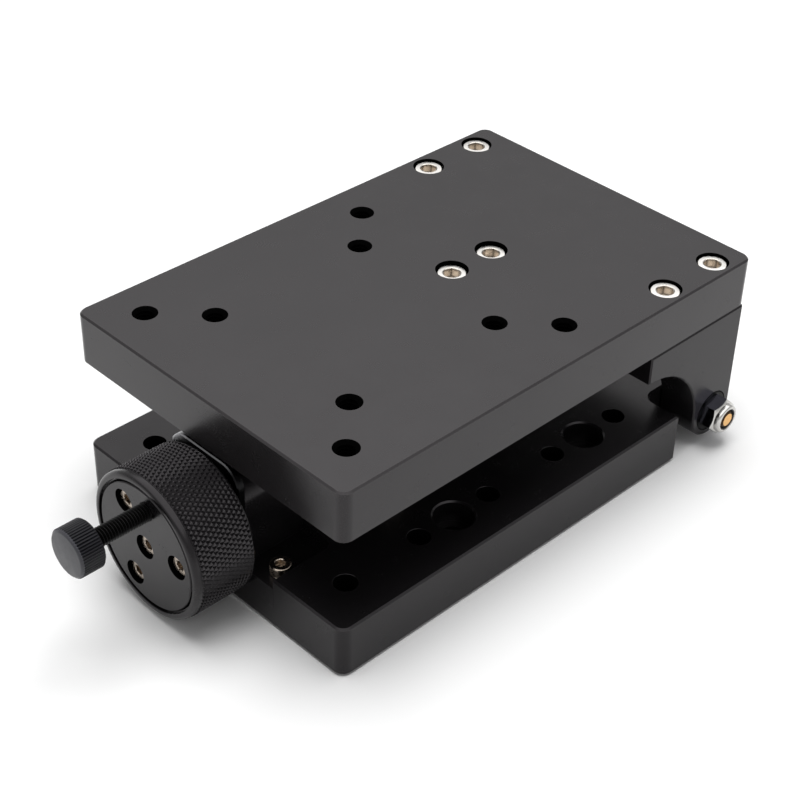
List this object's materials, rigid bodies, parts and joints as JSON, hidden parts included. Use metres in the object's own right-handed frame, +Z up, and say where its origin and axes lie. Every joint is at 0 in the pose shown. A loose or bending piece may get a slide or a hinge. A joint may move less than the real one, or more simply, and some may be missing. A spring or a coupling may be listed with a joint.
{
  "type": "manual tilt stage",
  "caption": "Black tilt stage: a drilled top plate hinged at the rear over a base plate, tilted by a knurled front knob, lead screw and link arms.",
  "frame": {"origin": "centre of the base plate's underside", "axes": "+Z up, +X from the knob end to the hinge end, +Y to the left of someone who looks along +X"},
  "size_m": [0.1918, 0.112, 0.0565],
  "materials": {
    "black_anodised_aluminium": "satin, black anodised",
    "bright_aluminium": "clear anodised",
    "stainless_steel": "machined, bright",
    "bearing_steel": "ground",
    "black_oxide_steel": "black oxide",
    "brass": "machined",
    "bronze": "sintered",
    "nylon": "matt"
  },
  "bodies": {
    "base": {"base_plate": "black_anodised_aluminium", "bearing_block": "black_anodised_aluminium", "bearing_block_screws": "stainless_steel", "bearing_cover_plate": "bright_aluminium", "cover_plate_screws": "stainless_steel", "front_bearing_outer_ring": "bearing_steel", "rear_bearing_outer_ring": "bearing_steel", "bearing_outer_spacer": "stainless_steel", "tail_bearing_block": "black_anodised_aluminium", "tail_bush": "bronze", "tail_block_screws": "stainless_steel", "pivot_bushes": "bronze"},
    "top": {"top_plate": "black_anodised_aluminium", "hinge_bracket_right": "black_anodised_aluminium", "hinge_bracket_left": "black_anodised_aluminium", "bracket_screws": "stainless_steel", "pivot_rod": "brass", "pivot_washers": "black_oxide_steel", "pivot_lock_nuts": "stainless_steel", "lock_nut_inserts": "nylon", "lift_bracket": "black_anodised_aluminium", "lift_bracket_screws": "stainless_steel", "lift_pin": "bearing_steel", "lift_pin_rings": "black_oxide_steel"},
    "knob": {"lead_screw": "stainless_steel", "knob_sleeve": "black_anodised_aluminium", "knob_disc": "black_anodised_aluminium", "knob_disc_screws": "stainless_steel", "knob_centre_screw": "stainless_steel", "knob_collar": "bearing_steel", "front_bearing_inner_ring": "bearing_steel", "rear_bearing_inner_ring": "bearing_steel", "bearing_inner_spacer": "stainless_steel"},
    "thumb_screw": {"thumb_screw": "black_oxide_steel"},
    "nut": {"nut_block": "black_anodised_aluminium", "lead_nut": "brass", "nut_grub_screws": "black_oxide_steel", "link_shoulder_screws": "stainless_steel"},
    "links": {"link_arm_right": "black_anodised_aluminium", "link_arm_left": "black_anodised_aluminium"}
  },
  "joints": [
    {"name": "tilt", "type": "hinge", "parent": "base", "child": "top", "pos_m": [0.0661, 0, 0.0094], "axis": [0, 1, 0], "range_deg": [0, 10]},
    {"name": "knob_turn", "type": "hinge", "parent": "base", "child": "knob", "pos_m": [-0.075, 0, 0.021], "axis": [-1, 0, 0], "range_deg": [0, 1593.7]},
    {"name": "thumb_screw_turn", "type": "hinge", "parent": "knob", "child": "thumb_screw", "pos_m": [-0.095, -0.00147, 0.03301], "axis": [1, 0, 0], "range_deg": [0, 1080]},
    {"name": "nut_travel", "type": "slide", "parent": "base", "child": "nut", "axis": [1, 0, 0], "range_m": [0, 0.00665]},
    {"name": "link_swing", "type": "hinge", "parent": "nut", "child": "links", "pos_m": [-0.03149, 0, 0.021], "axis": [0, -1, 0], "range_deg": [0, 9.73]}
  ],
  "couplings": [
    {"joint": "knob_turn", "follows": "tilt", "ratio": 159.32},
    {"joint": "nut_travel", "follows": "tilt", "m_per_rad": 0.038035},
    {"joint": "link_swing", "follows": "tilt", "ratio": 0.9719}
  ]
}
